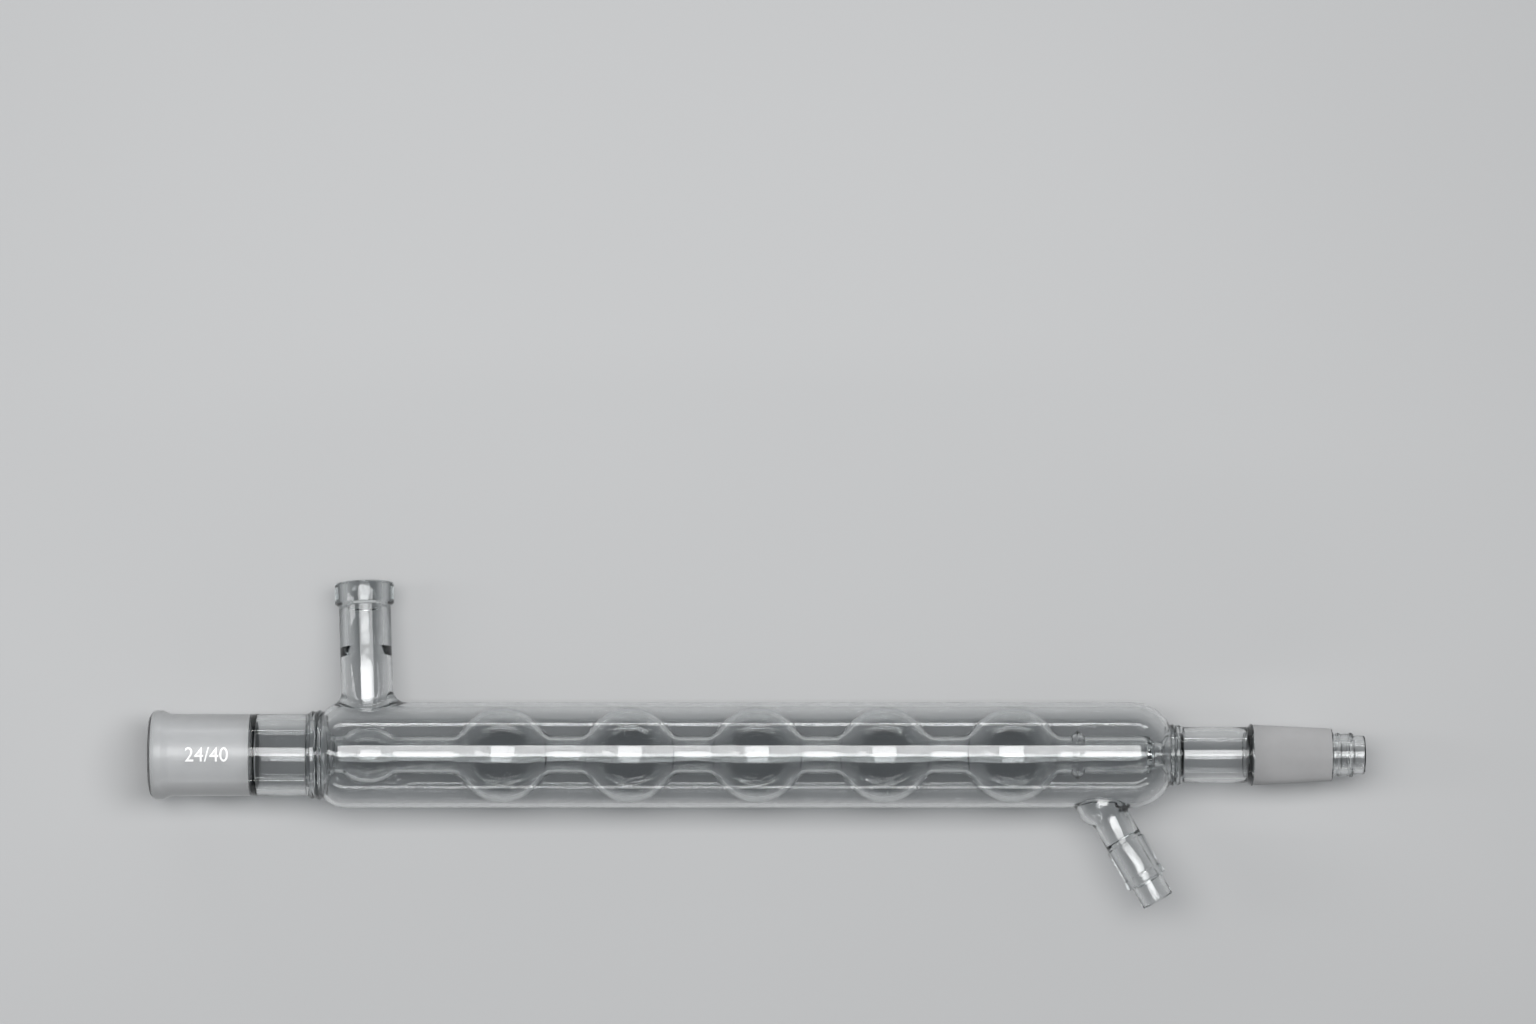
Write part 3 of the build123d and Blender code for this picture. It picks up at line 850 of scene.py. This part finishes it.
def size_mark():
    """The joint's size in plain figures, a thin layer of enamel wrapped on the socket."""
    text = bpy.data.curves.new("figures", "FONT")
    text.body = "24/40"
    text.extrude = 0.5
    text.offset = MARK_BOLDNESS
    text.resolution_u = 4
    holder = bpy.data.objects.new("figures", text)
    bpy.context.scene.collection.objects.link(holder)
    bpy.context.view_layer.update()
    mesh = bpy.data.meshes.new_from_object(holder)
    bpy.data.objects.remove(holder)
    work = bmesh.new()
    work.from_mesh(mesh)
    bmesh.ops.remove_doubles(work, verts=work.verts, dist=1e-5)
    low = [min(v.co[k] for v in work.verts) for k in (0, 1)]
    high = [max(v.co[k] for v in work.verts) for k in (0, 1)]
    for v in work.verts:
        v.co.x = MARK_START + (v.co.x - low[0]) / (high[0] - low[0]) * MARK_LENGTH
        v.co.y = ((v.co.y - low[1]) / (high[1] - low[1]) - 0.5) * MARK_HEIGHT + MARK_OFFSET
    for k in range(1, MARK_STRIPS):
        level = (k / MARK_STRIPS - 0.5) * MARK_HEIGHT + MARK_OFFSET
        every = work.verts[:] + work.edges[:] + work.faces[:]
        bmesh.ops.bisect_plane(work, geom=every, plane_co=(0, level, 0), plane_no=(0, 1, 0))
    for v in work.verts:
        out = NECK_RADIUS + (MARK_RISE if v.co.z > 0 else -MARK_RISE / 2)
        turn = v.co.y / NECK_RADIUS
        v.co = (v.co.x * MM, out * sin(turn) * MM, out * cos(turn) * MM)
    bmesh.ops.triangulate(work, faces=work.faces)
    bmesh.ops.recalc_face_normals(work, faces=work.faces)
    work.to_mesh(mesh)
    work.free()
    mesh.name = "size_mark"
    mark = bpy.data.objects.new("size_mark", mesh)
    bpy.context.scene.collection.objects.link(mark)
    return mark


piece = glass_piece()
mark = size_mark()
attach(mark, "root")
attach(piece, "root")
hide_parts("condenser_glass")


# Materials.
GLASS_IOR = 1.473
GLASS_DEPTH_COLOUR = (0.61, 0.635, 0.64, 1)
GLASS_DENSITY = 100.0
CLEAR_TINT = (0.82, 0.825, 0.83)
GROUND_TINT = (0.7, 0.71, 0.71)


def new_material(name):
    """An empty node material and a function that adds nodes to it."""
    material = bpy.data.materials.new(name)
    material.use_nodes = True
    tree = material.node_tree
    tree.nodes.clear()

    def add(kind, **values):
        node = tree.nodes.new(kind)
        for key, value in values.items():
            setattr(node, key, value)
        return node

    return material, tree, add


def put(node, **values):
    """Sets a node's unlinked inputs by name."""
    for key, value in values.items():
        node.inputs[key.replace("_", " ")].default_value = value


def noise(tree, add, vector, scale, detail, roughness):
    """A noise texture over the given coordinates."""
    node = add("ShaderNodeTexNoise")
    put(node, Scale=scale, Detail=detail, Roughness=roughness)
    tree.links.new(vector, node.inputs["Vector"])
    return node.outputs["Fac"]


def stretched(tree, add, place, factors):
    """The position with each axis multiplied by a factor."""
    node = add("ShaderNodeVectorMath", operation="MULTIPLY")
    node.inputs[1].default_value = factors
    tree.links.new(place, node.inputs[0])
    return node.outputs[0]


def ranged(tree, add, value, low, high, to_low=0.0, to_high=1.0):
    """A value moved from one range to another."""
    node = add("ShaderNodeMapRange")
    put(node, From_Min=low, From_Max=high, To_Min=to_low, To_Max=to_high)
    tree.links.new(value, node.inputs["Value"])
    return node.outputs["Result"]


def between(tree, add, share, low, high):
    """A colour between two, by the given share."""
    node = add("ShaderNodeMix", data_type="RGBA")
    node.inputs[6].default_value = (*low, 1)
    node.inputs[7].default_value = (*high, 1)
    tree.links.new(share, node.inputs[0])
    return node.outputs[2]


def raised(tree, add, height, strength, distance):
    """The normal of a surface with fine relief."""
    node = add("ShaderNodeBump")
    put(node, Strength=strength, Distance=distance)
    tree.links.new(height, node.inputs["Height"])
    return node.outputs["Normal"]


def shaders_mixed(tree, add, share, first, second):
    """Two shaders mixed; the share of the second is a number or another node's output."""
    node = add("ShaderNodeMixShader")
    if isinstance(share, float):
        node.inputs[0].default_value = share
    else:
        tree.links.new(share, node.inputs[0])
    tree.links.new(first.outputs[0], node.inputs[1])
    tree.links.new(second.outputs[0], node.inputs[2])
    return node


def lets_lamps_through(tree, add, shader, tint):
    """Ends a glass material: lamps shine through it, and it is a little grey in depth."""
    path = add("ShaderNodeLightPath")
    clear = add("ShaderNodeBsdfTransparent")
    clear.inputs["Color"].default_value = (*tint, 1)
    mix = shaders_mixed(tree, add, path.outputs["Is Shadow Ray"], shader, clear)
    out = add("ShaderNodeOutputMaterial")
    tree.links.new(mix.outputs[0], out.inputs["Surface"])
    depth = add("ShaderNodeVolumeAbsorption")
    depth.inputs["Color"].default_value = GLASS_DEPTH_COLOUR
    depth.inputs["Density"].default_value = GLASS_DENSITY
    tree.links.new(depth.outputs[0], out.inputs["Volume"])


def drawn_glass():
    """Clear borosilicate glass with the faint waves of drawn and blown tubing."""
    material, tree, add = new_material("clear_glass")
    place = add("ShaderNodeNewGeometry").outputs["Position"]
    waves = noise(tree, add, stretched(tree, add, place, (0.22, 1.0, 1.0)), 95.0, 2.0, 0.4)
    broad = noise(tree, add, place, 28.0, 1.0, 0.3)
    both = add("ShaderNodeMath", operation="ADD")
    tree.links.new(waves, both.inputs[0])
    tree.links.new(broad, both.inputs[1])
    film = noise(tree, add, place, 160.0, 5.0, 0.65)
    gloss = ranged(tree, add, film, 0.45, 0.75, 0.004, 0.045)
    glass = add("ShaderNodeBsdfPrincipled")
    glass.inputs["Base Color"].default_value = (0.99, 0.994, 0.995, 1)
    glass.inputs["Transmission Weight"].default_value = 1.0
    glass.inputs["IOR"].default_value = GLASS_IOR
    tree.links.new(gloss, glass.inputs["Roughness"])
    tree.links.new(raised(tree, add, both.outputs[0], 0.2, 0.00008), glass.inputs["Normal"])
    lets_lamps_through(tree, add, glass, CLEAR_TINT)
    return material


def ground_glass(name, low, high):
    """Ground joint surface: fine even grit, with faint turned lines from the grinding."""
    material, tree, add = new_material(name)
    place = add("ShaderNodeNewGeometry").outputs["Position"]
    grit = noise(tree, add, place, 5200.0, 2.0, 0.6)
    lines = noise(tree, add, stretched(tree, add, place, (1.0, 0.02, 0.02)), 2600.0, 3.0, 0.6)
    cloud = noise(tree, add, place, 70.0, 4.0, 0.6)
    tone = ranged(tree, add, cloud, 0.3, 0.7)
    shade = between(tree, add, tone, (low, low, 1.01 * low), (high, high, 1.01 * high))
    height = add("ShaderNodeMath", operation="MULTIPLY_ADD")
    height.inputs[1].default_value = 0.6
    tree.links.new(lines, height.inputs[0])
    tree.links.new(grit, height.inputs[2])
    relief = raised(tree, add, height.outputs[0], 0.35, 0.00006)
    white = add("ShaderNodeBsdfDiffuse")
    white.inputs["Roughness"].default_value = 0.4
    glow = add("ShaderNodeBsdfTranslucent")
    glass = add("ShaderNodeBsdfGlass")
    glass.inputs["Roughness"].default_value = 0.42
    glass.inputs["IOR"].default_value = GLASS_IOR
    for shader in (white, glow, glass):
        tree.links.new(shade, shader.inputs["Color"])
        tree.links.new(relief, shader.inputs["Normal"])
    soft = shaders_mixed(tree, add, 0.2, white, glow)
    ground = shaders_mixed(tree, add, 0.12, soft, glass)
    lets_lamps_through(tree, add, ground, GROUND_TINT)
    return material


def satin_glass():
    """The outside of the socket: it scatters a little and looks milky, with a soft sheen."""
    material, tree, add = new_material("satin_glass")
    place = add("ShaderNodeNewGeometry").outputs["Position"]
    grain = noise(tree, add, place, 3800.0, 2.0, 0.6)
    cloud = noise(tree, add, place, 90.0, 4.0, 0.6)
    shade = between(tree, add, cloud, (0.70, 0.707, 0.715), (0.79, 0.797, 0.805))
    relief = raised(tree, add, grain, 0.3, 0.00004)
    white = add("ShaderNodeBsdfDiffuse")
    glass = add("ShaderNodeBsdfGlass")
    glass.inputs["Roughness"].default_value = 0.24
    glass.inputs["IOR"].default_value = GLASS_IOR
    for shader in (white, glass):
        tree.links.new(shade, shader.inputs["Color"])
        tree.links.new(relief, shader.inputs["Normal"])
    satin = shaders_mixed(tree, add, 0.62, white, glass)
    sheen = add("ShaderNodeBsdfGlossy")
    sheen.inputs["Roughness"].default_value = 0.42
    share = add("ShaderNodeFresnel")
    put(share, IOR=GLASS_IOR)
    polished = shaders_mixed(tree, add, share.outputs[0], satin, sheen)
    lets_lamps_through(tree, add, polished, CLEAR_TINT)
    return material


def painted(tree, add, shade, roughness):
    """Ends an opaque material of that shade, and returns its shader."""
    paint = add("ShaderNodeBsdfPrincipled")
    paint.inputs["Roughness"].default_value = roughness
    tree.links.new(shade, paint.inputs["Base Color"])
    out = add("ShaderNodeOutputMaterial")
    tree.links.new(paint.outputs[0], out.inputs["Surface"])
    return paint


def enamel():
    """White fired enamel, a little worn and uneven."""
    material, tree, add = new_material("enamel")
    place = add("ShaderNodeNewGeometry").outputs["Position"]
    wear = noise(tree, add, place, 1500.0, 4.0, 0.6)
    tone = ranged(tree, add, wear, 0.35, 0.65)
    shade = between(tree, add, tone, (0.88, 0.88, 0.88), (0.97, 0.97, 0.97))
    painted(tree, add, shade, 0.45)
    return material


mark.data.materials.append(enamel())
piece.data.materials.append(drawn_glass())
# The bore and the cone are the same ground glass. The cone's copy is made much darker than the bore's as
# painted shade, because the cone's outside is lit directly while the bore lies under the glass.
piece.data.materials.append(ground_glass("ground_bore", 0.90, 0.95))
piece.data.materials.append(ground_glass("ground_cone_painted_shade", 0.50, 0.54))
piece.data.materials.append(satin_glass())


# Floor, light and camera.
MIDDLE_X = 0.24
FLOOR_HALF = 8.0
CAMERA_PLACE = (0.2452, 0.0964, 2.66)
CAMERA_VIEW_WIDTH = 0.6095
SENSOR_WIDTH = 36.0


def floor_material():
    """A plain pale matt floor."""
    material, tree, add = new_material("floor")
    place = add("ShaderNodeNewGeometry").outputs["Position"]
    cloud = noise(tree, add, place, 3.0, 2.0, 0.5)
    shade = between(tree, add, cloud, (0.50, 0.505, 0.51), (0.53, 0.535, 0.54))
    matt = painted(tree, add, shade, 0.9)
    matt.inputs["Specular IOR Level"].default_value = 0.1
    return material


def make_floor():
    """A floor that reaches far past the view."""
    z = -JACKET_RADIUS * MM
    mesh = bpy.data.meshes.new("floor")
    ways = ((-1, -1), (1, -1), (1, 1), (-1, 1))
    corners = [(MIDDLE_X + a * FLOOR_HALF, b * FLOOR_HALF, z) for a, b in ways]
    mesh.from_pydata(corners, [], [(0, 1, 2, 3)])
    floor = bpy.data.objects.new("floor", mesh)
    bpy.context.scene.collection.objects.link(floor)
    mesh.materials.append(floor_material())


def softbox(name, place, aim, width, height, power):
    """A soft rectangular lamp at a place, pointed at aim."""
    lamp = bpy.data.lights.new(name, "AREA")
    lamp.shape = "RECTANGLE"
    lamp.size = width
    lamp.size_y = height
    lamp.energy = power
    holder = bpy.data.objects.new(name, lamp)
    holder.location = place
    direction = Vector(aim) - Vector(place)
    holder.rotation_euler = direction.to_track_quat("-Z", "Y").to_euler()
    bpy.context.scene.collection.objects.link(holder)


def make_world():
    """Even dim light from all round."""
    world = bpy.data.worlds.new("studio")
    world.use_nodes = True
    tree = world.node_tree
    tree.nodes.clear()
    sky = tree.nodes.new("ShaderNodeBackground")
    sky.inputs["Color"].default_value = (0.9, 0.95, 1.0, 1)
    sky.inputs["Strength"].default_value = 0.08
    out = tree.nodes.new("ShaderNodeOutputWorld")
    tree.links.new(sky.outputs[0], out.inputs["Surface"])
    bpy.context.scene.world = world


def make_camera():
    """Looks straight down at the condenser, which is in the lower half of the picture."""
    camera = bpy.data.cameras.new("camera")
    camera.sensor_width = SENSOR_WIDTH
    camera.lens = SENSOR_WIDTH * CAMERA_PLACE[2] / CAMERA_VIEW_WIDTH
    camera.clip_start = 0.05
    camera.clip_end = 50.0
    holder = bpy.data.objects.new("camera", camera)
    holder.location = CAMERA_PLACE
    bpy.context.scene.collection.objects.link(holder)
    bpy.context.scene.camera = holder


make_floor()
make_world()
make_camera()
softbox("key", (MIDDLE_X, 0.20, 1.05), (MIDDLE_X, 0, 0), 1.2, 0.46, 12.5)
softbox("low_far", (MIDDLE_X, 1.50, 0.43), (MIDDLE_X, 0, 0), 2.4, 0.06, 6.8)
softbox("low_near", (MIDDLE_X, -1.50, 0.43), (MIDDLE_X, 0, 0), 2.4, 0.06, 5.0)
softbox("end", (-0.75, 0.1, 0.6), (0.1, 0, 0), 0.15, 0.5, 1.5)
bpy.context.scene.view_settings.view_transform = "Standard"
cycles = bpy.context.scene.cycles
cycles.max_bounces = 24
cycles.transmission_bounces = 24
cycles.transparent_max_bounces = 32
cycles.glossy_bounces = 8
cycles.caustics_refractive = False
cycles.caustics_reflective = False
